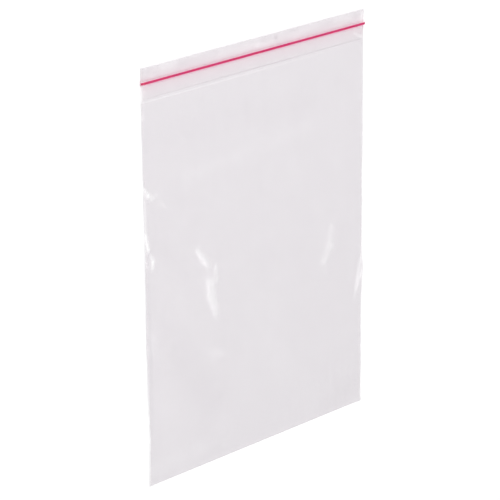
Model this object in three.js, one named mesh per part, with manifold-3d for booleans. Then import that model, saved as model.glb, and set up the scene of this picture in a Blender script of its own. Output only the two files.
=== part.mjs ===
// A resealable bag of clear film, closed and empty, lying flat on its back with its mouth towards +Y.
// One sheet of film is folded at the bottom and hot-cut along both sides. A press-to-close zip runs
// across it below the lips: a rib on the back film snaps into a groove on the front film, and a
// coloured line marks it. Sizes are in millimetres. X runs across the bag and Z points up.

import * as THREE from 'three';
import { mergeVertices } from 'three/addons/utils/BufferGeometryUtils.js';
import Module from 'manifold-3d';

const wasm = await Module();
wasm.setup();

// The bag
const bagWidth = 160;       // between the two side cuts
const fillDepth = 220;      // from the zip's centreline to the bottom fold
const lipHeight = 8;        // from the zip's centreline to the mouth's cut edge
const filmWall = 0.05;      // one thickness of film
const sealWidth = 0.6;      // the hot-cut seal along each side
const sealRamp = 1;         // the film climbs from the seal to the zip over this length
const foldRound = 0.8;      // how much of the bottom the fold's round takes
const lipParting = 1.1;     // between the two lips at the mouth
const airHeight = 1.7;      // how far the trapped air parts the two films at most
const crownPower = 2.6;     // how flat the air's pillow is across the bag
const stepLength = 0.7;     // the films step down off the flanges within this length
const ridgeLength = 2;      // and stand up again in a low ridge this far below them
const restLength = 14;      // below this length only air parts them

// The zip
const footWidth = 2.6;      // the foot that carries the rib, and the one that carries the groove
const footWall = 0.15;
const footBevel = 0.3;      // each foot thins out over this much of its two edges
const flangeWidth = 8.6;    // from the zip's centreline to the flanges' lower edge
const flangeWall = 0.1;
const flangeTip = 0.4;      // the level last stretch of the front flange
const flangeRoot = 0.35;    // how far each flange reaches into its foot
const stemWidth = 0.36;     // the rib's neck
const headWidth = 0.8;      // the rib's arrow head at its barbs
const barbHeight = 0.42;    // from the foot to the underside of the barbs
const barbWall = 0.06;      // the barbs' upright edge
const ribHeight = 0.8;      // from the foot to the tip
const cheekWall = 0.22;     // the groove's two side walls
const cheekBevel = 0.1;     // the bevels on the groove's corners
const hookRise = 0.08;      // from the rib's foot to the groove's hooks
const snapGap = 0.05;       // between rib and groove all round
const lineWidth = 1.3;      // the coloured line
const lineWall = 0.1;
const endReach = 0.4;       // how far the zip stands out of each side cut
const endCrush = 0.6;       // share of its height that the hot cut leaves the zip's ends
const crushLength = 1.6;    // length of the crushed end inside the side cut

// Between layers that lie against each other, and round the zip's ends in the side seals
const layerGap = 0.03;
const throughGap = layerGap / 2;

// Sizes that follow
const bagHeight = lipHeight + fillDepth;
const halfWidth = bagWidth / 2;
const halfFoot = footWidth / 2;
const mouthY = bagHeight / 2;
const zipY = mouthY - lipHeight;
const footBottom = filmWall + layerGap;
const footTop = footBottom + footWall;
const grooveRoof = footTop + ribHeight + snapGap;
const grooveTop = grooveRoof + footWall;
const lineBottom = grooveTop + layerGap;
const zipGap = lineBottom + lineWall + layerGap - filmWall;   // between the films at the zip
const flangeGap = 2 * flangeWall + 3 * layerGap;              // between the films at the flanges' edge
const flangeEnd = lipHeight + flangeWidth;                    // down from the mouth
const sealLine = halfWidth - sealWidth;
const bandReach = sealLine - sealRamp;
const flangeReach = bandReach - layerGap;
const crushX = halfWidth - crushLength;
const endX = halfWidth + endReach;

// The film's form. A place on the film is given by x and by s, the distance down from the mouth.

// Over the zip and its flanges the two films stand apart by these gaps, and step down below them.
const band = [
  [0, lipParting],
  [lipHeight - halfFoot - layerGap, zipGap],
  [lipHeight + halfFoot + layerGap, zipGap],
  [lipHeight + flangeWidth / 2, (zipGap + flangeGap) / 2],
  [flangeEnd - flangeTip, flangeGap + layerGap],
  [flangeEnd + layerGap, flangeGap + layerGap],
  [flangeEnd + stepLength, flangeGap / 2],
  [flangeEnd + ridgeLength, flangeGap],
  [flangeEnd + restLength, 0],
];

// Below the flanges trapped air parts them by these shares of airHeight.
const air = [
  [flangeEnd + stepLength, 0],
  [flangeEnd + ridgeLength, 0.14],
  [flangeEnd + restLength, 0.3],
  [0.42 * bagHeight, 0.62],
  [0.64 * bagHeight, 1],
  [0.82 * bagHeight, 0.86],
  [0.95 * bagHeight, 0.36],
  [bagHeight - foldRound, 0.06],
  [bagHeight, 0],
];

// Soft creases in the front film, highest halfway along. Both ends are shares of the bag's width and
// height, and the half width and height of the crease are shares of its width.
const creases = [
  { from: [-0.281, 0.452], to: [-0.206, 0.526], wide: 0.015, high: 0.0031 },
  { from: [-0.184, 0.509], to: [-0.203, 0.579], wide: 0.011, high: 0.0021 },
  { from: [-0.228, 0.539], to: [-0.175, 0.667], wide: 0.0225, high: 0.0041 },
  { from: [0.369, 0.482], to: [0.288, 0.649], wide: 0.026, high: 0.0075 },
  { from: [-0.463, 0.474], to: [-0.269, 0.588], wide: 0.0375, high: 0.0013 },
  { from: [-0.475, 0.281], to: [0.175, 0.241], wide: 0.0375, high: 0.0014 },
  { from: [-0.475, 0.491], to: [-0.1, 0.912], wide: 0.05, high: -0.0016 },
];

// Puckers that lift both films at a side seal and lean as they run in. Both ends are shares of the
// bag's height, and the other sizes are shares of its width.
const puckers = {
  left: [
    { outer: 0.283, inner: 0.329, wide: 0.021, reach: 0.0625, high: 0.0044 },
    { outer: 0.404, inner: 0.447, wide: 0.02, reach: 0.0375, high: 0.0028 },
    { outer: 0.443, inner: 0.5, wide: 0.024, reach: 0.0625, high: 0.0044 },
  ],
  right: [{ outer: 0.64, inner: 0.763, wide: 0.05, reach: 0.056, high: 0.0056 }],
};

// Waves along an edge, as sums of sines. The height and each sine's length over two pi are shares of
// the bag's width, and each sine also has its share of the height and its start.
const lipWaves = { high: 0.0028, sines: [[0.081, 0.65, 1], [0.034, 0.35, 0]] };
const sideWaves = {
  left: { high: 0.0028, sines: [[0.039, 0.6, 0.4], [0.092, 0.4, 0.8]] },
  right: { high: 0.0025, sines: [[0.039, 0.6, 2.1], [0.092, 0.4, 4.2]] },
};
const cutWaves = {
  left: { high: 0.0031, sines: [[0.019, 0.5, 0], [0.049, 0.5, 0]] },
  right: { high: 0.0022, sines: [[0.019, 0.5, 1.7], [0.049, 0.5, 3.4]] },
};
const sideReach = 5.5;      // how far the side waves run into the film
const shrinkReach = 10;     // how far the in-and-out of the side cut is felt
const settleLength = 20;    // creases and waves come in over this length below the flanges

const clamp01 = (t) => Math.min(Math.max(t, 0), 1);
const ease = (t) => clamp01(t) ** 2 * (3 - 2 * clamp01(t));
const sideOf = (table, x) => (x < 0 ? table.left : table.right);
const belowFlanges = (s) => ease((s - flangeEnd) / settleLength);
const aboveFold = (s) => ease((bagHeight - s) / settleLength);

// Runs through [place, height] pairs with a smooth step between neighbours.
function along(pairs, at) {
  const next = pairs.findIndex(([place]) => place >= at);
  if (next < 1) return pairs[next < 0 ? pairs.length - 1 : 0][1];
  const [fromPlace, fromHeight] = pairs[next - 1];
  const [toPlace, toHeight] = pairs[next];
  return fromHeight + (toHeight - fromHeight) * ease((at - fromPlace) / (toPlace - fromPlace));
}

// From 0 to high, by a sum of sines whose shares add up to 1.
function waveHeight({ high, sines }, at) {
  const swing = sines.map(([length, share, start]) => {
    return share * Math.sin(at / (length * bagWidth) + start);
  });
  return (high * bagWidth * (1 + swing.reduce((sum, part) => sum + part))) / 2;
}

function creaseHeight(x, s, { from, to, wide, high }) {
  const start = new THREE.Vector2(from[0] * bagWidth, from[1] * bagHeight);
  const run = new THREE.Vector2(to[0] * bagWidth, to[1] * bagHeight).sub(start);
  const place = new THREE.Vector2(x, s).sub(start);
  const share = clamp01(place.dot(run) / run.lengthSq());
  const away = place.distanceTo(run.multiplyScalar(share)) / (wide * bagWidth);
  return high * bagWidth * Math.exp(-(away ** 2)) * ease(4 * share * (1 - share));
}

function puckerHeight(x, s, { outer, inner, wide, reach, high }) {
  const share = clamp01(1 - (halfWidth - Math.abs(x)) / (reach * bagWidth));
  const centre = (inner + (outer - inner) * share) * bagHeight;
  const away = (s - centre) / (wide * bagWidth);
  return high * bagWidth * Math.exp(-(away ** 2)) * share ** 1.5;
}

// Between the two films: level across the zip's band, a pillow below it, nothing at the seals.
function filmGap(x, s) {
  const level = along(band, s) * ease((sealLine - Math.abs(x)) / sealRamp);
  const crown = clamp01(1 - Math.abs(x / sealLine) ** crownPower);
  const creased = creases.reduce((sum, crease) => sum + creaseHeight(x, s, crease), 0);
  const pillow = airHeight * along(air, s) + belowFlanges(s) * aboveFold(s) * creased;
  return level + crown * Math.max(pillow, 0);
}

// How far both films lift off the table: waves and puckers along the side seals, and waves in the lips.
function filmLift(x, s) {
  const fromSide = (halfWidth - Math.abs(x)) / sideReach;
  const side = waveHeight(sideOf(sideWaves, x), s) * Math.exp(-(fromSide ** 2));
  const puckered = sideOf(puckers, x).reduce((sum, pucker) => sum + puckerHeight(x, s, pucker), 0);
  const lip = clamp01(1 - s / (lipHeight - halfFoot - layerGap)) ** 2;
  return belowFlanges(s) * (side + puckered) + lip * waveHeight(lipWaves, x);
}

// How far the seal's shrinkage draws the film in at its sides.
function drawIn(x, s) {
  const nearSide = ease((Math.abs(x) - halfWidth + shrinkReach) / shrinkReach);
  return belowFlanges(s) * waveHeight(sideOf(cutWaves, x), s) * nearSide;
}

// Columns across the film and rows down it lie closer at the sides, the creases, the zip and the fold.
// The back film lies level between its sides, so it needs few columns below the lips.
const sideSteps = [2.6, 6.6];     // from the flanges' ends inwards
const foldSteps = [9, 4];         // up from the bottom fold
const columnStretches = [[-0.3, 3], [-0.165, 8], [0.275, 10], [0.375, 5]];  // share of width, columns
const rowStretches = [[0.43, 12], [0.68, 18]];                              // share of height, rows

const spread = (a, b, steps) => Array.from({ length: steps }, (_, i) => a + ((b - a) * i) / steps);

// Places from start to end through stretches, without the start itself.
function placesThrough(start, stretches, size, end, lastSteps) {
  let from = start;
  const ends = stretches.map(([share, steps]) => [share * size, steps]);
  const places = [...ends, [end, lastSteps]].flatMap(([to, steps]) => {
    const stretch = spread(from, to, steps);
    from = to;
    return stretch;
  });
  return places.slice(1);
}

const sideColumns = [sealLine, bandReach, ...sideSteps.map((step) => bandReach - step)];
const innerSide = sideColumns.at(-1);
const acrossBag = (middle) => [...sideColumns.map((x) => -x), ...middle, ...sideColumns.toReversed()];
const columns = acrossBag(placesThrough(-innerSide, columnStretches, bagWidth, innerSide, 2));
const fewColumns = acrossBag([sideReach - innerSide, innerSide - sideReach]);
const bandRows = [lipHeight / 3, ...band.slice(0, -1).map(([place]) => place)].sort((a, b) => a - b);
const foldRows = [...foldSteps, foldRound, filmWall].map((step) => bagHeight - step);
const bodyRows = placesThrough(bandRows.at(-1), rowStretches, bagHeight, foldRows[0], 10);
const rows = [...bandRows, ...bodyRows, ...foldRows];

// Triangles between two rows of points. Each step takes the point that comes next across the bag.
function stitch(upper, lower) {
  const triangles = [];
  let [u, l] = [0, 0];
  while (u + 1 < upper.length || l + 1 < lower.length) {
    const upperNext = upper[u + 1]?.x ?? Infinity;
    const lowerNext = lower[l + 1]?.x ?? Infinity;
    if (upperNext < lowerNext) {
      triangles.push([upper[u].index, lower[l].index, upper[u + 1].index]);
      u += 1;
    } else {
      triangles.push([upper[u].index, lower[l].index, lower[l + 1].index]);
      l += 1;
    }
  }
  return triangles;
}

const flipped = (triangles) => triangles.map(([a, b, c]) => [a, c, b]);

// One skin of the pouch, open at the mouth: a front and a back sheet that share their points along
// both sides and the bottom. The heights function gives the back's and the front's at a place.
function skin(skinRows, edge, heights) {
  const points = [];
  const reach = (middle) => (edge > sealLine ? [-edge, ...middle, edge] : middle);
  const pointAt = (x, s, z) => {
    points.push([x - Math.sign(x) * drawIn(x, s), mouthY - s, z]);
    return { x, index: points.length - 1 };
  };
  const lastRow = skinRows.length - 1;
  const front = skinRows.map((s) => reach(columns).map((x) => pointAt(x, s, heights(x, s)[1])));
  const back = skinRows.map((s, r) => {
    const across = reach(s < lipHeight / 2 || r === lastRow ? columns : fewColumns);
    return across.map((x) => {
      const shared = Math.abs(x) === edge || r === lastRow;
      return shared ? front[r].find((point) => point.x === x) : pointAt(x, s, heights(x, s)[0]);
    });
  });
  const triangles = skinRows.slice(1).flatMap((_, r) => [
    ...stitch(front[r], front[r + 1]),
    ...flipped(stitch(back[r], back[r + 1])),
  ]);
  return { points, triangles, front: front[0], back: back[0] };
}

// The film: an outer and an inner skin, joined round the mouth.
function filmSurface() {
  const outer = skin([...rows, bagHeight], halfWidth, (x, s) => {
    const low = filmLift(x, s);
    const atEdge = Math.abs(x) === halfWidth || s === bagHeight;
    return [low, low + (atEdge ? filmWall : filmGap(x, s) + 2 * filmWall)];
  });
  const inner = skin(rows, sealLine, (x, s) => {
    const low = filmLift(x, s) + filmWall;
    const atEdge = Math.abs(x) === sealLine || s === rows.at(-1);
    return [low, low + (atEdge ? 0 : filmGap(x, s))];
  });
  const shift = outer.points.length;
  const shifted = (mouth) => mouth.map(({ x, index }) => ({ x, index: index + shift }));
  const lining = flipped(inner.triangles).map((triangle) => triangle.map((index) => index + shift));
  const mouthRim = [
    ...stitch(shifted(inner.front), outer.front),
    ...flipped(stitch(shifted(inner.back), outer.back)),
  ];
  const points = [...outer.points, ...inner.points];
  return geometryOf(points.flat(), [...outer.triangles, ...lining, ...mouthRim].flat());
}

function geometryOf(positions, indices) {
  const geometry = new THREE.BufferGeometry();
  geometry.setAttribute('position', new THREE.Float32BufferAttribute(positions, 3));
  geometry.setIndex(indices);
  return geometry;
}

// Joining and cutting

function solidOf(geometry) {
  const bare = geometry.clone();
  bare.deleteAttribute('normal');
  bare.deleteAttribute('uv');
  const merged = mergeVertices(bare, 1e-4);
  return new wasm.Manifold(new wasm.Mesh({
    numProp: 3,
    vertProperties: new Float32Array(merged.getAttribute('position').array),
    triVerts: new Uint32Array(merged.index.array),
  }));
}

function geometryFrom(solid) {
  const mesh = solid.getMesh();
  return geometryOf(Array.from(mesh.vertProperties), Array.from(mesh.triVerts));
}

// A section drawn in y from the zip's centreline and z, carried along X through stations. A station's
// crush flattens the section onto the rib's foot, as the hot cut does to the ends of the zip.
function bar(section, stations) {
  const steps = stations.length - 1;
  const sizes = { steps, depth: steps, bevelEnabled: false, curveSegments: 4 };
  const geometry = new THREE.ExtrudeGeometry(section, sizes);
  const position = geometry.getAttribute('position');
  for (let i = 0; i < position.count; i += 1) {
    const { x, crush } = stations[Math.round(position.getZ(i))];
    const [y, z] = [position.getX(i), position.getY(i)];
    position.setXYZ(i, x, zipY + y, footBottom + (z - footBottom) * crush);
  }
  return geometry;
}

const zipStations = [
  { x: -endX, crush: endCrush },
  { x: -halfWidth, crush: (endCrush + 1) / 2 },
  { x: -crushX, crush: 1 },
  { x: crushX, crush: 1 },
  { x: halfWidth, crush: (endCrush + 1) / 2 },
  { x: endX, crush: endCrush },
];
const levelStations = (reach) => [{ x: -reach, crush: 1 }, { x: reach, crush: 1 }];

const shapeOf = (points) => new THREE.Shape(points.map(([y, z]) => new THREE.Vector2(y, z)));
const mirrored = (half) => [...half, ...half.map(([y, z]) => [-y, z]).reverse()];
const block = (y0, y1, z0, z1) => shapeOf([[y0, z0], [y1, z0], [y1, z1], [y0, z1]]);

// The rib: a flat foot, a neck and an arrow head with a rounded tip.
function ribSection() {
  const [halfStem, halfHead] = [stemWidth / 2, headWidth / 2];
  const barb = footTop + barbHeight;
  const tip = footTop + ribHeight;
  const shape = new THREE.Shape();
  shape.moveTo(-halfFoot, footBottom);
  shape.lineTo(halfFoot, footBottom);
  shape.lineTo(halfFoot, footTop - footWall / 2);
  shape.lineTo(halfFoot - footBevel, footTop);
  shape.lineTo(halfStem, footTop);
  shape.lineTo(halfStem, barb);
  shape.lineTo(halfHead, barb);
  shape.lineTo(halfHead, barb + barbWall);
  shape.quadraticCurveTo(halfHead / 2, tip, 0, tip);
  shape.quadraticCurveTo(-halfHead / 2, tip, -halfHead, barb + barbWall);
  shape.lineTo(-halfHead, barb);
  shape.lineTo(-halfStem, barb);
  shape.lineTo(-halfStem, footTop);
  shape.lineTo(-halfFoot + footBevel, footTop);
  shape.lineTo(-halfFoot, footTop - footWall / 2);
  return shape;
}

// The groove: a flat foot overhead, with two cheeks that hook in under the rib's barbs.
function grooveSection() {
  const inner = headWidth / 2 + snapGap;
  const throat = stemWidth / 2 + snapGap;
  const outer = inner + cheekWall;
  const hookBottom = footTop + hookRise;
  const hookTop = footTop + barbHeight - snapGap;
  return shapeOf(mirrored([
    [inner - cheekBevel, grooveRoof],
    [inner, grooveRoof - cheekBevel],
    [inner, hookTop],
    [throat, hookTop],
    [throat, hookTop - cheekBevel],
    [throat + cheekBevel, hookBottom],
    [outer - cheekBevel, hookBottom],
    [outer, hookBottom + cheekBevel],
    [outer, grooveRoof],
    [halfFoot - footBevel, grooveRoof],
    [halfFoot, grooveTop - footWall / 2],
    [halfFoot, grooveTop],
  ]));
}

// The front flange grows out of the groove's foot and follows the front film down to the step.
function frontFlangeSection() {
  const places = bandRows.filter((s) => s > lipHeight + halfFoot && s < flangeEnd);
  const top = places.map((s, i) => {
    const clear = i === 0 ? lineWall + 2 * layerGap : layerGap;
    return [lipHeight - s, filmWall + along(band, s) - clear];
  });
  top.unshift([flangeRoot - halfFoot, grooveTop]);
  top.push([-flangeWidth, filmWall + flangeGap]);
  return shapeOf([...top, ...top.map(([y, z]) => [y, z - flangeWall]).reverse()]);
}

// The back flange lies flat on the back film.
function backFlangeSection() {
  return block(-flangeWidth, flangeRoot - halfFoot, footBottom, footBottom + flangeWall);
}

// A zip strip is its profile with the flange grown out of the foot.
function strip(profile, flange) {
  const flangeSolid = solidOf(bar(flange, levelStations(flangeReach)));
  return geometryFrom(solidOf(bar(profile, zipStations)).add(flangeSolid));
}

function redLine() {
  const line = block(-lineWidth / 2, lineWidth / 2, lineBottom, lineBottom + lineWall);
  return bar(line, zipStations);
}

// The film, with a way through each side seal for the zip's ends.
function filmPouch() {
  const half = halfFoot + throughGap;
  const way = block(-half, half, filmWall + throughGap, filmWall + zipGap - throughGap);
  const ways = solidOf(bar(way, levelStations(endX + sealRamp)));
  return geometryFrom(solidOf(filmSurface()).subtract(ways));
}

const clearFilm = { color: 0xe4e2e6, roughness: 0.28, metalness: 0, transparent: true, opacity: 0.5 };
const clearStrip = { color: 0xe9e4e8, roughness: 0.35, metalness: 0, transparent: true, opacity: 0.6 };
const redPlastic = { color: 0xd0325f, roughness: 0.4, metalness: 0 };

function piece(name, geometry, finish) {
  const flat = geometry.index ? geometry.toNonIndexed() : geometry;
  flat.computeVertexNormals();
  const mesh = new THREE.Mesh(flat, new THREE.MeshStandardMaterial(finish));
  mesh.name = name;
  return mesh;
}

const bag = new THREE.Group();
bag.add(piece('film_pouch', filmPouch(), clearFilm));
bag.add(piece('zip_rib_strip', strip(ribSection(), backFlangeSection()), clearStrip));
bag.add(piece('zip_groove_strip', strip(grooveSection(), frontFlangeSection()), clearStrip));
bag.add(piece('red_line', redLine(), redPlastic));

export default bag;
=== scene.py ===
"""A resealable bag of clear film with a press-to-close zip, empty and closed, lying on a white table."""

import math

import bpy
import numpy as np
from mathutils import Matrix, Vector


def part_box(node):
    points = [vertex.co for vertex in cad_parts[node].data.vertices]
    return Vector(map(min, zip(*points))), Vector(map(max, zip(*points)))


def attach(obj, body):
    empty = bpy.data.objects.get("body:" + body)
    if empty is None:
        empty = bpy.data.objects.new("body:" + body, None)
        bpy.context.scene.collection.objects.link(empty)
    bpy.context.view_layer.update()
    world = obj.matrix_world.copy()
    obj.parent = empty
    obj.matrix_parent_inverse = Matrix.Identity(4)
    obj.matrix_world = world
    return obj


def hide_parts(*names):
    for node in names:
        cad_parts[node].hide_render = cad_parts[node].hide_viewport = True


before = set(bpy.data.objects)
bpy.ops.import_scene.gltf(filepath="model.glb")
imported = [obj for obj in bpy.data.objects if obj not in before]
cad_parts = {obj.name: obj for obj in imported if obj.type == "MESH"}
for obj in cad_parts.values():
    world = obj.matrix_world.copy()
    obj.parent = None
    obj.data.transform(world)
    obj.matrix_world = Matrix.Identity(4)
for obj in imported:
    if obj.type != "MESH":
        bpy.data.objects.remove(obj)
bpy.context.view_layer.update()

bl_info = {
    "name": "Resealable film bag",
    "version": (1, 0, 0),
    "blender": (4, 5, 0),
    "location": "3D View > Sidebar > Film Bag",
    "description": "Makes a clear film bag with its zip, its red line and a white table",
    "category": "Mesh",
}

MM = 0.001
TINY = 1e-9

# Sizes taken from the bag's solids
film_low, film_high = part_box("film_pouch")
line_low, line_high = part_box("red_line")
rib_low, rib_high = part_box("zip_rib_strip")
HALF_WIDTH = (film_high.x - film_low.x) / 2
MOUTH = film_high.y
BAG_HEIGHT = film_high.y - film_low.y
ZIP_Y = (line_low.y + line_high.y) / 2
ZIP_DROP = MOUTH - ZIP_Y
HALF_FOOT = rib_high.y - ZIP_Y
FLANGE_END = MOUTH - rib_low.y
LINE_HALF = (line_high.y - line_low.y) / 2

# The film's wall and the gaps between its layers
FILM = 0.05 * MM
LAYER_GAP = rib_low.z - FILM
ZIP_GAP = line_high.z + LAYER_GAP - FILM
FLANGE_GAP = 0.29 * MM
LIP_PARTING = 1.1 * MM

# The side seals: fused width, the ramp where the films part, and the bead that the hot cut leaves
SEAL = 0.6 * MM
SEAL_RAMP = 1.0 * MM
SEAL_LINE = HALF_WIDTH - SEAL
BEAD = 0.11 * MM
BEAD_FADE = 0.2 * MM

# Places down the bag, from the mouth
FOOT_TOP = ZIP_DROP - HALF_FOOT - LAYER_GAP
FOOT_END = ZIP_DROP + HALF_FOOT + LAYER_GAP
STEP_TOP = FLANGE_END - 0.4 * MM
STEP_END = FLANGE_END + LAYER_GAP
VALLEY = FLANGE_END + 0.7 * MM
RIDGE = FLANGE_END + 1.5 * MM
CREST = FLANGE_END + 2.0 * MM
BODY_TOP = FLANGE_END + 14.0 * MM
FOLD_TOP = BAG_HEIGHT - 0.8 * MM

# Length over which creases and side waves run in, and the power of x with which the pillow falls off
RUN_IN = 20.0 * MM
CROWN_POWER = 2.6

# The shrunk sides, left and right: height and start of the waves that lift them and that draw them in
SIDE_LIFT = (0.45 * MM, 0.4 * MM)
SIDE_LIFT_START = (0.4, 2.1)
SIDE_LIFT_REACH = 5.5 * MM
SIDE_DRAW = (0.25 * MM, 0.15 * MM)
SIDE_DRAW_START = (0.0, 1.7)

# Height of the waves in the lips
LIP_LIFT = 0.45 * MM

# The strip beside each side that is drawn in. Between the strips, and below the lip, the back film has
# points on one column in BACK_STEP.
STRIP = 10.0 * MM
BACK_STEP = 4

# Gap between the films over the zip and its flanges, as (place down the bag, gap)
BAND = [
    (0.0, LIP_PARTING),
    (FOOT_TOP, ZIP_GAP),
    (FOOT_END, ZIP_GAP),
    ((ZIP_DROP + FLANGE_END) / 2, (ZIP_GAP + FLANGE_GAP) / 2),
    (STEP_TOP, FLANGE_GAP + LAYER_GAP),
    (STEP_END, FLANGE_GAP + LAYER_GAP),
    (VALLEY, FLANGE_GAP / 2),
    (CREST, FLANGE_GAP),
    (BODY_TOP, 0.0),
]

# Share of the trapped air's height down the bag
AIR = [
    (VALLEY, 0.0),
    (CREST, 0.14),
    (BODY_TOP, 0.3),
    (0.42 * BAG_HEIGHT, 0.62),
    (0.64 * BAG_HEIGHT, 1.0),
    (0.82 * BAG_HEIGHT, 0.86),
    (0.95 * BAG_HEIGHT, 0.36),
    (FOLD_TOP, 0.06),
    (BAG_HEIGHT, 0.0),
]

# The tables below are in millimetres: x across from the bag's left side and s down from its mouth.

# Creases: x and s of both ends, half width and height
CREASES = [
    (35.0, 101.5, 47.0, 118.5, 2.4, 0.56),
    (50.5, 112.0, 47.5, 128.0, 1.8, 0.45),
    (43.5, 117.0, 52.0, 146.0, 3.6, 0.7),
    (144.0, 103.0, 131.0, 141.0, 4.8, 1.6),
    (45.0, 161.0, 51.0, 172.0, 2.6, 0.16),
    (10.0, 70.0, 15.0, 80.0, 2.0, 0.24),
    (6.0, 108.0, 37.0, 134.0, 6.0, 0.2),
    (4.0, 64.0, 108.0, 55.0, 6.0, 0.22),
    (4.0, 112.0, 64.0, 208.0, 8.0, -0.25),
]

# Puckers that run in from a side seal: side, s at the seal and inside, half width, reach and height
PUCKERS = [
    (-1, 63.0, 73.0, 3.4, 10.0, 0.5),
    (-1, 91.0, 100.0, 3.2, 6.0, 0.35),
    (-1, 99.0, 111.0, 3.8, 10.0, 0.45),
    (-1, 129.0, 132.0, 2.0, 3.0, 0.2),
    (-1, 146.0, 149.0, 1.8, 2.5, 0.2),
    (-1, 158.0, 161.0, 1.5, 2.5, 0.2),
    (-1, 171.0, 174.0, 1.6, 3.0, 0.2),
    (-1, 184.0, 186.0, 1.5, 2.5, 0.2),
    (-1, 195.0, 197.0, 1.4, 2.0, 0.2),
    (1, 98.0, 100.0, 1.2, 2.5, 0.2),
    (1, 108.0, 110.0, 1.2, 2.5, 0.2),
    (1, 148.0, 172.0, 8.0, 8.0, 0.8),
    (1, 190.0, 193.0, 1.8, 3.0, 0.2),
    (1, 204.0, 207.0, 1.6, 2.5, 0.2),
]

# Painted glints and a few clearer places: less haze lets the white table show through as a painted highlight,
# and a share below 0 makes the film milkier as painted shade. x and s of both ends, half width and the share
# of haze lost
PAINTED_GLINTS_AND_CLEARING = [
    (1.0, 64.0, 3.5, 67.5, 1.0, 0.7),
    (3.5, 67.5, 6.0, 69.5, 1.1, 0.28),
    (6.0, 69.5, 11.5, 68.0, 1.4, 0.12),
    (11.5, 72.5, 15.0, 76.5, 1.5, 0.22),
    (1.0, 70.0, 1.0, 88.0, 0.8, 0.4),
    (1.0, 88.5, 2.5, 96.5, 1.2, 0.9),
    (4.5, 100.5, 6.0, 104.0, 1.1, 0.6),
    (5.5, 104.0, 5.5, 107.0, 1.1, 0.55),
    (36.5, 105.0, 44.0, 115.0, 1.5, 0.7),
    (49.0, 117.0, 48.5, 125.0, 1.3, 0.7),
    (45.0, 125.5, 45.0, 133.0, 2.2, 0.95),
    (45.0, 133.0, 48.5, 143.5, 1.8, 0.9),
    (135.0, 117.0, 134.0, 128.0, 1.8, 0.4),
    (134.0, 128.0, 129.5, 135.5, 2.1, 0.5),
    (128.0, 136.5, 131.5, 142.0, 2.5, 0.15),
    (158.0, 144.5, 155.0, 159.0, 1.2, 0.05),
    (48.5, 165.0, 52.0, 167.0, 2.0, 0.25),
    (13.5, 1.5, 23.5, 2.0, 1.6, 0.2),
    (55.0, 3.5, 80.0, 3.0, 2.6, 0.16),
    (80.0, 4.5, 92.0, 4.5, 1.6, 0.12),
    (93.5, 3.0, 94.0, 2.5, 1.0, -0.35),
    (95.5, 3.5, 112.5, 3.0, 1.7, 0.1),
    (114.0, 2.5, 129.0, 3.0, 1.7, 0.06),
    (137.5, 2.0, 149.5, 3.0, 1.5, 0.2),
    (0.5, 10.0, 0.5, 17.0, 0.9, 0.6),
    (158.5, 2.0, 158.5, 6.0, 1.0, 0.55),
    (152.5, 12.0, 157.5, 15.0, 0.8, 0.3),
    (156.0, 17.0, 158.5, 19.0, 0.9, -0.12),
]

# The same for wide soft places of the front film, as painted light and shade
PAINTED_TONES = [
    (6.0, 38.0, 140.0, 40.0, 9.0, -0.08),
    (30.0, 63.0, 118.0, 56.0, 4.0, 0.1),
    (6.0, 92.0, 18.0, 102.0, 5.0, -0.12),
    (10.0, 146.0, 44.0, 192.0, 12.0, -0.17),
    (84.0, 150.0, 96.0, 190.0, 12.0, 0.08),
    (4.0, 219.0, 36.0, 219.0, 5.0, 0.13),
    (136.0, 222.0, 156.0, 216.0, 9.0, -0.14),
]


def ease(t):
    """3 t^2 - 2 t^3, with t held between 0 and 1."""
    t = np.clip(t, 0.0, 1.0)
    return t * t * (3.0 - 2.0 * t)


def along(pairs, at):
    """h0 + (h1 - h0) * ease(share of the way), between the two (place, height) pairs beside each place."""
    places, heights = np.array(pairs, float).T
    low = np.clip(np.searchsorted(places, at, side="right") - 1, 0, len(places) - 2)
    share = (at - places[low]) / (places[low + 1] - places[low])
    return heights[low] + (heights[low + 1] - heights[low]) * ease(share)


def wave(at, *sines):
    """Sum of share * sin(at / length + start) over (length, share, start)."""
    return sum(share * np.sin(at / length + start) for length, share, start in sines)


def by_side(x, pair):
    """The pair's first value left of the bag's middle and its second to the right."""
    return np.where(x < 0, *pair)


def off_line(x, s, start, end):
    """Distance from the line between two places of a table, and the share t of the way along it."""
    start, end = np.array(start) * MM, np.array(end) * MM
    run = end - start
    dx, ds = x + HALF_WIDTH - start[0], s - start[1]
    share = np.clip((dx * run[0] + ds * run[1]) / (run @ run), 0.0, 1.0)
    return np.hypot(dx - share * run[0], ds - share * run[1]), share


def crease_height(x, s):
    """Sum of high * exp(-(d / wide)^2) * ease(4 t (1 - t)), d off a crease and t from 0 to 1 along it."""
    total = np.zeros_like(x)
    for x0, s0, x1, s1, wide, high in CREASES:
        away, share = off_line(x, s, (x0, s0), (x1, s1))
        total += high * MM * np.exp(-((away / (wide * MM)) ** 2)) * ease(4 * share * (1 - share))
    return total


def mark_share(places, x, s):
    """Sum of share * exp(-(d / wide)^2), d off a place's line, held between -1 and 1."""
    total = np.zeros_like(x)
    for x0, s0, x1, s1, wide, share in places:
        away, _ = off_line(x, s, (x0, s0), (x1, s1))
        total += share * np.exp(-((away / (wide * MM)) ** 2))
    return np.clip(total, -1.0, 1.0)


def pucker_height(x, s):
    """Sum of high * exp(-((s - c) / wide)^2) * t^1.5.

    t falls from 1 at the side to 0 at the pucker's reach, and its middle c runs from outer to inner with it.
    """
    total = np.zeros_like(x)
    for side, outer, inner, wide, reach, high in PUCKERS:
        share = np.clip(1.0 - (HALF_WIDTH - side * x) / (reach * MM), 0.0, 1.0)
        centre = (inner + (outer - inner) * share) * MM
        total += high * MM * np.exp(-(((s - centre) / (wide * MM)) ** 2)) * share**1.5
    return total


def below_flanges(s):
    """0 down to the flanges' ends, then ease((s - FLANGE_END) / RUN_IN)."""
    return ease((s - FLANGE_END) / RUN_IN)


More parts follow.
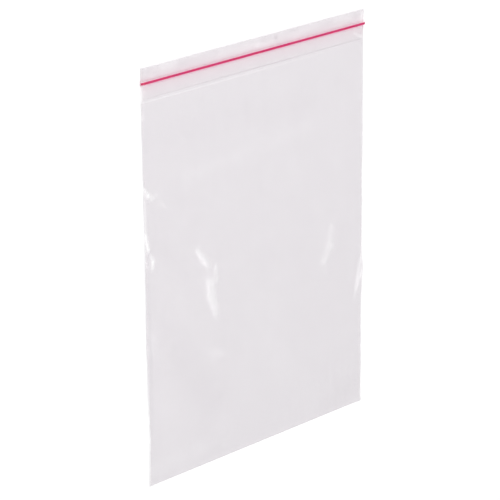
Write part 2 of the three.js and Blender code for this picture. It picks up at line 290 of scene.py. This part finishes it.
def film_gap(x, s, air):
    """BAND(s) with a ramp at each seal, plus (air * AIR(s) + creases) * (1 - |x / SEAL_LINE|^CROWN_POWER)."""
    level = along(BAND, s) * ease((SEAL_LINE - np.abs(x)) / SEAL_RAMP)
    crown = np.clip(1.0 - np.abs(x / SEAL_LINE) ** CROWN_POWER, 0.0, 1.0)
    free = below_flanges(s) * ease((BAG_HEIGHT - s) / RUN_IN)
    pillow = air * along(AIR, s) + free * crease_height(x, s)
    return level + crown * np.maximum(pillow, 0.0)


def film_lift(x, s):
    """How far both films lift off the table.

    Sum of side waves, high * (0.5 + wave(s)) * exp(-(d / reach)^2) with d from the side, which fade in
    below the flanges, of puckers, and of lip waves, (1 - s / FOOT_TOP)^2 * high * (0.5 + wave(x)).
    """
    from_side = (HALF_WIDTH - np.abs(x)) / SIDE_LIFT_REACH
    start = by_side(x, SIDE_LIFT_START)
    swing = wave(s / MM, (6.3, 0.3, start), (14.7, 0.2, 2 * start))
    side = below_flanges(s) * by_side(x, SIDE_LIFT) * (0.5 + swing) * np.exp(-(from_side**2))
    lip = np.clip(1.0 - s / FOOT_TOP, 0.0, 1.0) ** 2
    lip_wave = LIP_LIFT * (0.5 + wave(x / MM, (13.0, 0.32, 1.0), (5.5, 0.18, 0.0)))
    return side + pucker_height(x, s) + lip * lip_wave


def draw_in(x, s):
    """How far a seal's shrinkage draws its strip in: far * ease(1 - d / STRIP) * (0.5 + wave(s)).

    d is from the side, and it all fades in below the flanges.
    """
    near_side = ease((np.abs(x) - HALF_WIDTH + STRIP) / STRIP)
    start = by_side(x, SIDE_DRAW_START)
    swing = wave(s / MM, (3.1, 0.25, start), (7.9, 0.25, 2 * start))
    return by_side(x, SIDE_DRAW) * below_flanges(s) * near_side * (0.5 + swing)


def steps_between(*stretches):
    """Places through (from, to, spacing) stretches, each evenly divided, ends shared."""
    parts = []
    for low, high, spacing in stretches:
        count = max(1, round((high - low) / spacing))
        parts.append(np.linspace(low, high, count + 1)[:-1])
    return np.concatenate([*parts, [stretches[-1][1]]])


def film_grid():
    """Places of the film's columns and rows, closer together at the sides, the flanges' ends and the fold."""
    side = steps_between(
        (HALF_WIDTH - STRIP, SEAL_LINE - SEAL_RAMP, 0.8 * MM),
        (SEAL_LINE - SEAL_RAMP, SEAL_LINE, 0.25 * MM),
        (SEAL_LINE, HALF_WIDTH - BEAD, 0.25 * MM),
        (HALF_WIDTH - BEAD, HALF_WIDTH, 0.04 * MM),
    )
    middle = steps_between((STRIP - HALF_WIDTH, HALF_WIDTH - STRIP, 1.15 * MM))
    down = steps_between(
        (0.0, FOOT_TOP, 0.8 * MM),
        (FOOT_TOP, FOOT_END, 1.4 * MM),
        (FOOT_END, STEP_TOP, 0.9 * MM),
        (STEP_TOP, STEP_END, 0.25 * MM),
        (STEP_END, CREST, 0.25 * MM),
        (CREST, BAG_HEIGHT - 4.0 * MM, 1.18 * MM),
        (BAG_HEIGHT - 4.0 * MM, FOLD_TOP, 0.8 * MM),
        (FOLD_TOP, BAG_HEIGHT - FILM, 0.25 * MM),
        (BAG_HEIGHT - FILM, BAG_HEIGHT, FILM),
    )
    return np.concatenate([-side[::-1], middle[1:-1], side]), down


def film_skins(x, s, air, fused, ring):
    """Heights of the outer front, outer back, inner front and inner back skins.

    The back film's skins are at lift and lift + FILM, and the front film's a gap and a wall above them.
    A fused side's are middle + thick and middle - thick. thick is BEAD * sqrt(1 - (1 - d / BEAD)^2) within
    a bead's width of the cut, d from it, and FILM + (BEAD - FILM) * exp(-((d - BEAD) / BEAD_FADE)^2) inside.
    """
    low = film_lift(x, s)
    gap = film_gap(x, s, air)
    from_cut = np.clip((HALF_WIDTH - np.abs(x)) / BEAD, 0.0, 1.0)
    round_cut = BEAD * np.sqrt(1.0 - (1.0 - from_cut) ** 2)
    past_bead = (np.abs(x) - HALF_WIDTH + BEAD) / BEAD_FADE
    thick = np.where(from_cut < 1.0, round_cut, FILM + (BEAD - FILM) * np.exp(-(past_bead**2)))
    middle = low + np.maximum(thick, FILM)
    folded = s >= BAG_HEIGHT - TINY
    outer_front = np.where(fused, middle + thick, low + gap + 2 * FILM)
    outer_front = np.where(folded & ~fused, low + FILM, outer_front)
    outer_back = np.where(fused, middle - thick, low)
    inner_back = low + FILM
    inner_front = low + FILM + gap
    ends = ring[[0, -1]]
    inner_front[:, ends] = inner_back[:, ends]
    inner_front[-2] = inner_back[-2]
    return outer_front, outer_back, inner_front, inner_back


def skin_numbers(shape, ring):
    """Numbers of the four skins' points. Outer skins share the sides and the fold, and so do inner ones."""
    front, back, lining_front, lining_back = np.arange(4 * shape[0] * shape[1]).reshape(4, *shape)
    back[:, [0, -1]] = front[:, [0, -1]]
    back[-1] = front[-1]
    ends = ring[[0, -1]]
    lining_back[:, ends] = lining_front[:, ends]
    lining_back[-2] = lining_front[-2]
    return front, back, lining_front, lining_back


def sub_grid(numbers, rows, columns):
    """Quads (r, c), (r + 1, c), (r + 1, c + 1), (r, c + 1) over the chosen rows and columns of a grid."""
    grid = numbers[np.ix_(rows, columns)]
    corners = [grid[:-1, :-1], grid[1:, :-1], grid[1:, 1:], grid[:-1, 1:]]
    return np.stack(corners, axis=-1).reshape(-1, 4).tolist()


def meeting(numbers, few_row, many_row, kept):
    """Faces between a row where only the kept columns have points and one that has them all."""
    faces = []
    for a, b in zip(kept[:-1], kept[1:]):
        faces.append([numbers[few_row, a], *numbers[many_row, a : b + 1], numbers[few_row, b]])
    if few_row > many_row:
        faces = flipped(faces)
    return faces


def flipped(faces):
    """The same faces turned over."""
    return [list(face)[::-1] for face in faces]


def facing_skins(front, back, columns, few, lip_rows, end):
    """Faces of a front skin on all columns, and of a back skin that has only a few of them below its lip."""
    upper = sub_grid(front, np.arange(end), columns)
    lower = sub_grid(back, np.arange(lip_rows + 1), columns)
    lower += meeting(back, lip_rows + 1, lip_rows, few)
    lower += sub_grid(back, np.arange(lip_rows + 1, end - 1), few)
    lower += meeting(back, end - 2, end - 1, few)
    return upper + flipped(lower)


def film_faces(numbers, ring, fine, lip_rows):
    """Faces of the closed shell: outer skins, inner skins, and the rims that join them at the mouth."""
    front, back, lining_front, lining_back = numbers
    rows, columns = front.shape
    few = np.flatnonzero(fine | (np.arange(columns) % BACK_STEP == 0))
    few_inside = few[(few >= ring[0]) & (few <= ring[-1])]
    faces = facing_skins(front, back, np.arange(columns), few, lip_rows, rows)
    faces += flipped(facing_skins(lining_front, lining_back, ring, few_inside, lip_rows, rows - 1))
    for lining, outer, turned in ((lining_front, front, False), (lining_back, back, True)):
        rim = np.stack([lining[0, ring], outer[0, ring]])
        strip = sub_grid(rim, [0, 1], np.arange(len(ring)))
        faces += flipped(strip) if turned else strip
    left = [*front[0, : ring[0] + 1], lining_front[0, ring[0]], *back[0, 1 : ring[0] + 1][::-1]]
    right = [*front[0, ring[-1] :], *back[0, ring[-1] : -1][::-1], lining_front[0, ring[-1]]]
    return [*faces, left[::-1], right[::-1]]


def film_mesh(air):
    """Points, marks and faces of the pouch. A point is (x drawn in, MOUTH - s, height of its skin).

    Where the back film has points on few columns, the front film alone bears the painted glints, the painted
    shade and the clearer places.
    """
    across, down = film_grid()
    x, s = np.meshgrid(across, down)
    fused = np.abs(x) > SEAL_LINE + TINY
    ring = np.flatnonzero(~fused[0])
    drawn = x - np.sign(x) * draw_in(x, s)
    skins = film_skins(x, s, air, fused, ring)
    points = np.concatenate([np.stack([drawn, MOUTH - s, z], -1).reshape(-1, 3) for z in skins])

    fine = np.abs(across) > HALF_WIDTH - STRIP - TINY
    # Marks that paint glints and shade by making the film clearer or milkier
    painted_light_and_clearing = mark_share(PAINTED_GLINTS_AND_CLEARING, x, s)
    painted_light_and_clearing_front = painted_light_and_clearing + mark_share(PAINTED_TONES, x, s)
    painted_light_and_clearing_back = np.where(fine | (s < FOOT_TOP), painted_light_and_clearing, 0.0)
    marks = {
        "painted_light_and_clearing": np.concatenate([share.ravel() for share in (painted_light_and_clearing_front, painted_light_and_clearing_back) * 2]),
        "sealed": np.tile(fused.ravel().astype(float), len(skins)),
    }
    lip_rows = int(np.searchsorted(down, FOOT_TOP))
    return points, marks, film_faces(skin_numbers(x.shape, ring), ring, fine, lip_rows)


def new_piece(name, points, faces, material, sharp_degrees=40):
    """A mesh object at the origin, smooth but for edges sharper than the angle."""
    mesh = bpy.data.meshes.new(name)
    mesh.from_pydata(np.asarray(points).tolist(), [], [[int(i) for i in face] for face in faces])
    mesh.validate()
    mesh.shade_smooth()
    mesh.set_sharp_from_angle(angle=math.radians(sharp_degrees))
    mesh.materials.append(material)
    piece = bpy.data.objects.new(name, mesh)
    bpy.context.scene.collection.objects.link(piece)
    return piece


def cut_ways(piece):
    """Cuts the zip's way through both side seals of the film."""
    spare = LAYER_GAP / 2
    low = Vector((-HALF_WIDTH - SEAL_RAMP, ZIP_Y - HALF_FOOT - spare, FILM + spare))
    high = Vector((HALF_WIDTH + SEAL_RAMP, ZIP_Y + HALF_FOOT + spare, FILM + ZIP_GAP - spare))
    corners = [(x, y, z) for x in (low.x, high.x) for y in (low.y, high.y) for z in (low.z, high.z)]
    sides = [(0, 1, 3, 2), (4, 6, 7, 5), (0, 4, 5, 1), (2, 3, 7, 6), (0, 2, 6, 4), (1, 5, 7, 3)]
    mesh = bpy.data.meshes.new("way")
    mesh.from_pydata(corners, [], sides)
    cutter = bpy.data.objects.new("way", mesh)
    bpy.context.scene.collection.objects.link(cutter)
    cut = piece.modifiers.new("way", "BOOLEAN")
    cut.operation = "DIFFERENCE"
    cut.object = cutter
    cut.solver = "EXACT"
    with bpy.context.temp_override(object=piece, active_object=piece):
        bpy.ops.object.modifier_apply(modifier=cut.name)
    bpy.data.objects.remove(cutter)


class Term:
    """A node socket in an expression: + - * and / on it add Math nodes."""

    def __init__(self, socket):
        self.socket = socket

    @property
    def tree(self):
        """The node tree that the socket is in."""
        return self.socket.id_data

    @classmethod
    def node(cls, tree, kind, settings=None, inputs=None, output=0):
        """Adds a node of that type, sets it, then fills or links its sockets. output None gives the node."""
        made = tree.nodes.new(kind)
        for name, value in (settings or {}).items():
            setattr(made, name, value)
        for name, value in (inputs or {}).items():
            if isinstance(value, Term):
                tree.links.new(value.socket, made.inputs[name])
            else:
                made.inputs[name].default_value = value
        return made if output is None else cls(made.outputs[output])

    def math(self, operation, *values, clamp=False):
        """A Math node on those values."""
        settings = {"operation": operation, "use_clamp": clamp}
        return Term.node(self.tree, "ShaderNodeMath", settings, dict(enumerate(values)))

    def exp(self):
        """e to the power of it."""
        return self.math("EXPONENT", self)

    def clamped(self):
        """Itself, held between 0 and 1."""
        return self.math("MULTIPLY", self, 1.0, clamp=True)

    def __add__(self, other):
        return self.math("ADD", self, other)

    def __sub__(self, other):
        return self.math("SUBTRACT", self, other)

    def __rsub__(self, other):
        return self.math("SUBTRACT", other, self)

    def __mul__(self, other):
        return self.math("MULTIPLY", self, other)

    def __truediv__(self, other):
        return self.math("DIVIDE", self, other)

    __radd__ = __add__
    __rmul__ = __mul__


def noise(place, size, detail=2.0, stretch=(1.0, 1.0, 1.0)):
    """Noise from 0 to 1 with lumps of about that size, drawn out by stretch."""
    scale = tuple(1.0 / (size * part) for part in stretch)
    spread = Term.node(place.tree, "ShaderNodeVectorMath", {"operation": "MULTIPLY"}, {0: place, 1: scale})
    inputs = {"Vector": spread, "Scale": 1.0, "Detail": detail}
    return Term.node(place.tree, "ShaderNodeTexNoise", inputs=inputs)


def axes(place):
    """The X, Y and Z of a place."""
    parts = Term.node(place.tree, "ShaderNodeSeparateXYZ", inputs={0: place}, output=None)
    return [Term(part) for part in parts.outputs]


def marked(tree, name):
    """The mesh's marks of that name."""
    return Term.node(tree, "ShaderNodeAttribute", {"attribute_name": name}, output="Fac")


def band_at(along_axis, centre, half):
    """exp(-((a - centre) / half)^2), near 1 within that band and 0 outside."""
    away = (along_axis - centre) / half
    return (away * away * -1.0).exp()


def step_at(along_axis, edge, width):
    """0 below the edge and 1 above it, with a soft change of that width."""
    return ((along_axis - (edge - width / 2)) / width).clamped()


def tint(factor, first, second):
    """A colour from first to second by the factor."""
    ends = [end if isinstance(end, Term) else (*end, 1.0) for end in (first, second)]
    inputs = {0: factor, 6: ends[0], 7: ends[1]}
    return Term.node(factor.tree, "ShaderNodeMix", {"data_type": "RGBA"}, inputs, output=2)


def lighter(colour, times, more=0.0):
    """A colour times that much, plus more, held below 1."""
    return tuple(min(1.0, part * times + more) for part in colour)


def new_material(name, paint):
    """A material with one Principled shader. paint gives its sockets from a place on the piece."""
    material = bpy.data.materials.new(name)
    material.use_nodes = True
    tree = material.node_tree
    tree.nodes.clear()
    place = Term.node(tree, "ShaderNodeTexCoord", output="Object")
    shader = Term.node(tree, "ShaderNodeBsdfPrincipled", inputs=paint(place))
    Term.node(tree, "ShaderNodeOutputMaterial", inputs={"Surface": shader}, output=None)
    return material


# A ray crosses up to four faces of film and four of zip strip, and many more where it grazes a crease
FACES_SEEN_THROUGH = 32

# Polyethylene's index of refraction, and how far the painted pink glow of light through the red line spreads
# and fades in the lip
PLASTIC_IOR = 1.51
RED_GLOW_WIDTH = 6.0 * MM
RED_GLOW_LOST_IN_LIP = 0.35


def film_material(bag):
    """Clear film with a faint milky haze, pink close to the red line.

    Over a white table less haze looks lighter: over the zip, where the film is fused to the line, in a
    painted highlight along the ridge just below the flanges, in a ragged strip along the cut at the lower
    left side, and at marked places, mostly painted glints. Milkier marked places and a band beside the left
    seal are painted shade. A seal has two faces and not four, so it is made hazier.
    """

    def paint(place):
        x, y, _ = axes(place)
        from_left = x + HALF_WIDTH
        lumps = noise(place, 22 * MM, detail=3.0)
        drawn = noise(place, 3 * MM, stretch=(1.0, 14.0, 1.0))
        mottled = noise(place, 4 * MM, stretch=(4.0, 1.0, 1.0)) - 0.5
        ragged = noise(place, 2.5 * MM) - 0.5
        crinkle = noise(place, 5 * MM, detail=3.0)

        in_lip = step_at(y, ZIP_Y + HALF_FOOT, 1.0 * MM)
        above_flanges = step_at(y, MOUTH - FLANGE_END, 0.5 * MM)
        towards_left = 1.0 - step_at(x, 0.12 * HALF_WIDTH, 1.5 * HALF_WIDTH)
        # Painted highlight: less haze along the ridge just below the flanges, stronger towards the left
        ridge_highlight = band_at(y, MOUTH - RIDGE, 0.38 * MM) * (towards_left * 0.32 + 0.06)
        fused = band_at(y, ZIP_Y, 1.1 * LINE_HALF)
        # Painted glow: film right beside the red line turns pink, as light through the line would tint it
        line_glow = band_at(y, ZIP_Y, 1.35 * MM)
        at_cut = 1.0 - step_at(from_left + ragged * 1.5 * MM, 1.2 * MM, 0.5 * MM)
        # Clearer in a ragged strip along the cut at the lower left side
        ragged_cut_strip = band_at(y, MOUTH - 197 * MM, 23 * MM) * at_cut
        # Painted shade: hazier in a band just inside the left seal, where the film dips
        seal_valley_shade = band_at(from_left, 2.8 * MM, 1.1 * MM) * band_at(y, MOUTH - 165 * MM, 60 * MM)

        haze = 0.995
        hazier = [
            (lumps - 0.5, 0.12),
            (drawn - 0.5, 0.08),
            (in_lip, 0.11),
            (in_lip * mottled, 0.4),
            (ridge_highlight, -0.7),
            (marked(place.tree, "sealed"), 0.8),
            (seal_valley_shade, 0.1),
            (line_glow, 0.35),
        ]
        for mask, share in hazier:
            haze = haze + mask * share
        # The marked places here are mostly painted glints: less haze shows the white table through as
        # highlight
        clearer = [(above_flanges, 0.09), (fused, 0.9), (ragged_cut_strip, 0.9), (marked(place.tree, "painted_light_and_clearing"), 1.0)]
        for mask, share in clearer:
            haze = haze * (1.0 - mask * share)

        milky = tuple(bag.film_colour)
        # Painted glow: a wider pink of light through the red line, fainter in the lip
        red_glow = band_at(y, ZIP_Y, RED_GLOW_WIDTH) * (1.0 - in_lip * RED_GLOW_LOST_IN_LIP)
        red_glowed = tint(red_glow, tint(lumps, milky, lighter(milky, 1.04)), tuple(bag.red_glow_colour))
        bump = {"Strength": 0.2, "Distance": 0.1 * MM, "Height": crinkle}
        return {
            "Base Color": tint(line_glow, red_glowed, tuple(bag.line_glow_colour)),
            "Roughness": drawn * 0.06 + 0.13,
            "IOR": PLASTIC_IOR,
            "Alpha": haze * bag.film_opacity,
            "Specular IOR Level": 0.8,
            "Normal": Term.node(place.tree, "ShaderNodeBump", inputs=bump),
        }

    return new_material("clear_film", paint)


def strip_material(bag):
    """The zip's clear plastic, pinker beside the red line and milkier at its lower edge."""

    def paint(place):
        x, y, _ = axes(place)
        # Painted glow: the strips turn pink near the red line, as light through it would tint them
        red_glow = band_at(y, ZIP_Y, RED_GLOW_WIDTH)
        right_of_middle = band_at(x, 0.12 * HALF_WIDTH, 0.7 * HALF_WIDTH)
        # Painted shade: milkier along the flanges' lower edge for the dark line of the valley below,
        # strongest a little right of the middle
        edge = band_at(y, MOUTH - FLANGE_END, 0.5 * MM) * (right_of_middle + 0.35)
        drawn = noise(place, 0.6 * MM, stretch=(30.0, 1.0, 1.0))
        return {
            "Base Color": tint(red_glow, tuple(bag.strip_colour), tuple(bag.red_glow_colour)),
            "Roughness": drawn * 0.15 + 0.25,
            "IOR": PLASTIC_IOR,
            "Alpha": drawn * 0.02 + edge * 0.07 + bag.strip_opacity,
        }

    return new_material("clear_strip", paint)


def line_material(bag):
    """The red line, a little uneven along its length and brighter at its thin edges."""

    def paint(place):
        _, y, _ = axes(place)
        drawn = noise(place, 0.4 * MM, stretch=(25.0, 1.0, 1.0))
        deep = tuple(bag.line_colour)
        thick = band_at(y, ZIP_Y, 0.7 * LINE_HALF)
        uneven = tint(drawn, deep, lighter(deep, 1.15, 0.01))
        return {
            "Base Color": tint(thick, tuple(bag.line_edge_colour), uneven),
            "Roughness": drawn * 0.15 + 0.3,
            "IOR": PLASTIC_IOR,
            "Subsurface Weight": 1.0,
            "Subsurface Radius": (1.0, 0.1, 0.25),
            "Subsurface Scale": 0.6 * MM,
        }

    return new_material("red_plastic", paint)


def table_material():
    """A white table that looks evenly white to the camera but still takes a soft shadow."""

    def paint(place):
        seen = Term.node(place.tree, "ShaderNodeLightPath", output="Is Camera Ray")
        return {
            "Base Color": (0.6, 0.6, 0.6, 1.0),
            "Roughness": 0.9,
            "Specular IOR Level": 0.0,
            "Emission Color": (1.0, 1.0, 1.0, 1.0),
            "Emission Strength": seen * 0.5,
        }

    return new_material("table_white", paint)


class BagSettings(bpy.types.PropertyGroup):
    """Sizes and colours of the bag."""

    air_height: bpy.props.FloatProperty(
        name="Air", description="How far trapped air parts the films", default=1.7 * MM, unit="LENGTH"
    )
    film_colour: bpy.props.FloatVectorProperty(
        name="Film",
        description="Colour of the film's haze",
        default=(0.735, 0.67, 0.732),
        subtype="COLOR",
    )
    film_opacity: bpy.props.FloatProperty(
        name="Haze", description="How much one face of the film hides", default=0.13, subtype="FACTOR"
    )
    strip_colour: bpy.props.FloatVectorProperty(
        name="Zip", description="Colour of the zip strips", default=(0.82, 0.76, 0.8), subtype="COLOR"
    )
    strip_opacity: bpy.props.FloatProperty(
        name="Zip haze",
        description="How much one face of a zip strip hides",
        default=0.012,
        subtype="FACTOR",
    )
    # Blush and Halo are a painted pink glow of light through the red line
    red_glow_colour: bpy.props.FloatVectorProperty(
        name="Blush",
        description="Film and strips within a few millimetres of the red line",
        default=(0.82, 0.6, 0.7),
        subtype="COLOR",
    )
    line_glow_colour: bpy.props.FloatVectorProperty(
        name="Halo",
        description="Film right beside the red line",
        default=(1.0, 0.02, 0.34),
        subtype="COLOR",
    )
    line_colour: bpy.props.FloatVectorProperty(
        name="Line",
        description="Colour of the marking line",
        default=(0.52, 0.004, 0.086),
        subtype="COLOR",
    )
    line_edge_colour: bpy.props.FloatVectorProperty(
        name="Line edge",
        description="Colour of the line at its thin edges",
        default=(1.0, 0.05, 0.26),
        subtype="COLOR",
    )


class StudioSettings(bpy.types.PropertyGroup):
    """Camera, lamps and table."""

    camera_azimuth: bpy.props.FloatProperty(
        name="Azimuth",
        description="Camera's angle round the bag",
        default=math.radians(-118.16),
        subtype="ANGLE",
    )
    camera_elevation: bpy.props.FloatProperty(
        name="Elevation",
        description="Camera's angle above the table",
        default=math.radians(42.51),
        subtype="ANGLE",
    )
    camera_roll: bpy.props.FloatProperty(
        name="Roll",
        description="Camera's turn about its own axis",
        default=math.radians(109.44),
        subtype="ANGLE",
    )
    camera_distance: bpy.props.FloatProperty(
        name="Distance", description="From the camera to where it points", default=1.362, unit="LENGTH"
    )
    camera_lens: bpy.props.FloatProperty(
        name="Lens", description="Focal length in millimetres", default=185.8, unit="CAMERA"
    )
    camera_target: bpy.props.FloatVectorProperty(
        name="Target",
        description="Where the camera points",
        default=(-5.4 * MM, -1.2 * MM, 0.0),
        unit="LENGTH",
    )
    room_light: bpy.props.FloatProperty(
        name="Room",
        description="Share of the light that comes from all round",
        default=0.6,
        subtype="FACTOR",
    )
    key_light: bpy.props.FloatProperty(
        name="Key", description="Share of the light from the large lamp", default=0.3, subtype="FACTOR"
    )
    sheen_light: bpy.props.FloatProperty(
        name="Sheen",
        description="Share of the light from the lamp that glints in creases",
        default=0.1,
        subtype="FACTOR",
    )


def direction(azimuth, elevation):
    """Unit vector from the bag: azimuth 0 is towards -Y and 90 towards +X, as seen from above."""
    flat = math.cos(elevation)
    return Vector((math.sin(azimuth) * flat, -math.cos(azimuth) * flat, math.sin(elevation)))


def area_lamp(name, share, azimuth, elevation, distance, size, spin=0.0):
    """A lamp that points at the bag and gives a level table that share of plain light.

    Under a share of 1, or shares that add up to 1, a matt colour shows as written.
    """
    lamp = bpy.data.lights.new(name, "AREA")
    lamp.shape = "RECTANGLE"
    lamp.size, lamp.size_y = size
    towards = direction(math.radians(azimuth), math.radians(elevation))
    lamp.energy = share * math.pi**2 * distance**2 / towards.z
    holder = bpy.data.objects.new(name, lamp)
    holder.location = towards * distance
    turn = Matrix.Rotation(math.radians(spin), 3, "Z")
    facing = (-towards).to_track_quat("-Z", "Y").to_matrix() @ turn
    holder.rotation_euler = facing.to_euler()
    bpy.context.scene.collection.objects.link(holder)


def make_room(strength):
    """Even white light from all round."""
    scene = bpy.context.scene
    world = scene.world or bpy.data.worlds.new("room")
    scene.world = world
    world.use_nodes = True
    room = world.node_tree.nodes["Background"]
    room.inputs["Color"].default_value = (1.0, 1.0, 1.0, 1.0)
    room.inputs["Strength"].default_value = strength


def make_table(half=3.0, z=-0.1 * MM):
    """A wide white table top, a little below the bag, that keeps the bag's soft shadow."""
    corners = [(-half, -half, z), (half, -half, z), (half, half, z), (-half, half, z)]
    table = new_piece("table", corners, [(0, 1, 2, 3)], table_material())


def make_camera(studio):
    """The camera at the photograph's angle."""
    camera = bpy.data.cameras.new("camera")
    camera.lens = studio.camera_lens
    camera.sensor_width = 36.0
    camera.clip_start = 0.01
    camera.clip_end = 20.0
    back = direction(studio.camera_azimuth, studio.camera_elevation)
    level = Vector((math.cos(studio.camera_azimuth), math.sin(studio.camera_azimuth), 0.0))
    right = Matrix.Rotation(studio.camera_roll, 3, back) @ level
    up = back.cross(right)
    holder = bpy.data.objects.new("camera", camera)
    holder.matrix_world = Matrix((right, up, back)).transposed().to_4x4()
    holder.location = Vector(studio.camera_target) + back * studio.camera_distance
    bpy.context.scene.collection.objects.link(holder)
    bpy.context.scene.camera = holder


class FILMBAG_OT_film(bpy.types.Operator):
    """Makes the pouch of clear film"""

    bl_idname = "filmbag.film"
    bl_label = "Film Pouch"

    def execute(self, context):
        bag = context.scene.film_bag
        points, marks, faces = film_mesh(bag.air_height)
        piece = new_piece("bag_film", points, faces, film_material(bag))
        for name, values in marks.items():
            piece.data.attributes.new(name, "FLOAT", "POINT").data.foreach_set("value", values)
        cut_ways(piece)
        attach(piece, "root")
        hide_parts("film_pouch")
        return {"FINISHED"}


class FILMBAG_OT_zip(bpy.types.Operator):
    """Gives the zip's two strips and the red line their finish"""

    bl_idname = "filmbag.zip"
    bl_label = "Zip and Line"

    def execute(self, context):
        bag = context.scene.film_bag
        strips = strip_material(bag)
        finishes = {"zip_rib_strip": strips, "zip_groove_strip": strips, "red_line": line_material(bag)}
        for name, material in finishes.items():
            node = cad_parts[name]
            node.data.materials.clear()
            node.data.materials.append(material)
        return {"FINISHED"}


class FILMBAG_OT_studio(bpy.types.Operator):
    """Makes the white table, the lamps and the camera"""

    bl_idname = "filmbag.studio"
    bl_label = "Table, Lamps and Camera"

    def execute(self, context):
        scene = context.scene
        studio = scene.film_studio
        scene.view_settings.view_transform = "Standard"
        scene.cycles.transparent_max_bounces = FACES_SEEN_THROUGH
        make_table()
        make_room(studio.room_light)
        area_lamp("key_lamp", studio.key_light, azimuth=-165, elevation=52, distance=1.0, size=(0.6, 0.6))
        area_lamp(
            "sheen_lamp",
            studio.sheen_light,
            azimuth=50,
            elevation=53.8,
            distance=3.0,
            size=(0.3, 1.1),
            spin=-38.5,
        )
        make_camera(studio)
        return {"FINISHED"}


class FILMBAG_PT_panel(bpy.types.Panel):
    """Lists the bag's makers and settings in the 3D view's sidebar."""

    bl_idname = "FILMBAG_PT_panel"
    bl_label = "Film Bag"
    bl_space_type = "VIEW_3D"
    bl_region_type = "UI"
    bl_category = "Film Bag"

    def draw(self, context):
        for operator in OPERATORS:
            self.layout.operator(operator.bl_idname)
        for group in (context.scene.film_bag, context.scene.film_studio):
            for name in group.__annotations__:
                self.layout.prop(group, name)


OPERATORS = (FILMBAG_OT_studio, FILMBAG_OT_film, FILMBAG_OT_zip)
CLASSES = (BagSettings, StudioSettings, *OPERATORS, FILMBAG_PT_panel)


def register():
    for made in CLASSES:
        bpy.utils.register_class(made)
    bpy.types.Scene.film_bag = bpy.props.PointerProperty(type=BagSettings)
    bpy.types.Scene.film_studio = bpy.props.PointerProperty(type=StudioSettings)


def unregister():
    del bpy.types.Scene.film_studio
    del bpy.types.Scene.film_bag
    for made in reversed(CLASSES):
        bpy.utils.unregister_class(made)


def main():
    register()
    bpy.ops.filmbag.studio()
    bpy.ops.filmbag.film()
    bpy.ops.filmbag.zip()


if __name__ == "__main__":
    main()
